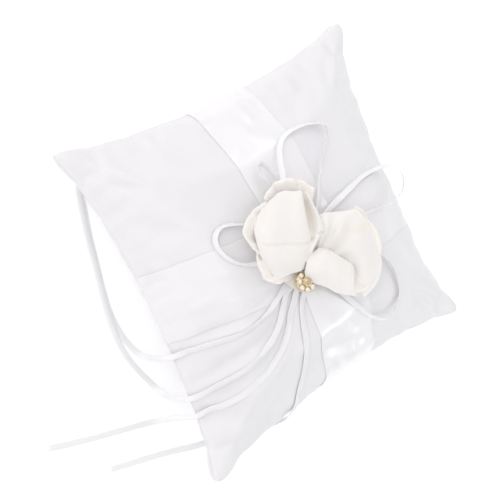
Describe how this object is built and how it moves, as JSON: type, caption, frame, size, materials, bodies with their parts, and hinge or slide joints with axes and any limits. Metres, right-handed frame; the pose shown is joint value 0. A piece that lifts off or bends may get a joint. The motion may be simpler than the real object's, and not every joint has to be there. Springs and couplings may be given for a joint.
{
  "type": "ring bearer pillow",
  "caption": "Square satin ring bearer pillow with crossed wide ribbons, narrow ribbon bow loops and tails, and a folded satin and organza flower with a stone-set ornament.",
  "frame": {"origin": "middle of the flat patch on the back cover that the pillow rests on", "axes": "+Z out of the pillow's front through the flower, -Y towards the edge that the loose ribbon tails fall over, +X to the right seen from that side"},
  "size_m": [0.2, 0.269, 0.0764],
  "materials": {
    "pillow_satin": "dull bridal satin, near white",
    "ribbon_satin": "glossy single-face satin ribbon, white",
    "ivory_satin": "ivory duchess satin with a soft sheen",
    "organza": "sheer cream organza",
    "filling": "loose white polyester fibre",
    "felt": "matt off-white craft felt",
    "thread": "polyester sewing thread, white",
    "setting_metal": "polished gold plate",
    "clear_stone": "foiled clear glass rhinestone",
    "golden_stone": "foiled topaz glass stone"
  },
  "bodies": {
    "root": {"cover_front": "pillow_satin", "cover_back": "pillow_satin", "fibre_filling": "filling", "seam_thread": "thread", "closing_stitch": "thread", "band_cross": "ribbon_satin", "band_long": "ribbon_satin", "tail_1": "ribbon_satin", "tail_2": "ribbon_satin", "tail_3": "ribbon_satin", "tail_4": "ribbon_satin", "loop_left": "ribbon_satin", "loop_top": "ribbon_satin", "loop_right": "ribbon_satin", "loop_lower": "ribbon_satin", "loop_short": "ribbon_satin", "ribbon_knot": "ribbon_satin", "flower_base": "felt", "organza_petal_top": "organza", "organza_petal_left": "organza", "organza_petal_front": "organza", "organza_petal_right": "organza", "satin_petal_back": "ivory_satin", "satin_petal_left": "ivory_satin", "satin_petal_front": "ivory_satin", "ornament_setting": "setting_metal", "centre_stone": "golden_stone", "rhinestone_1": "clear_stone", "rhinestone_2": "clear_stone", "rhinestone_3": "clear_stone", "rhinestone_4": "clear_stone", "rhinestone_5": "clear_stone", "rhinestone_6": "clear_stone", "rhinestone_7": "clear_stone", "rhinestone_8": "clear_stone"}
  },
  "joints": []
}
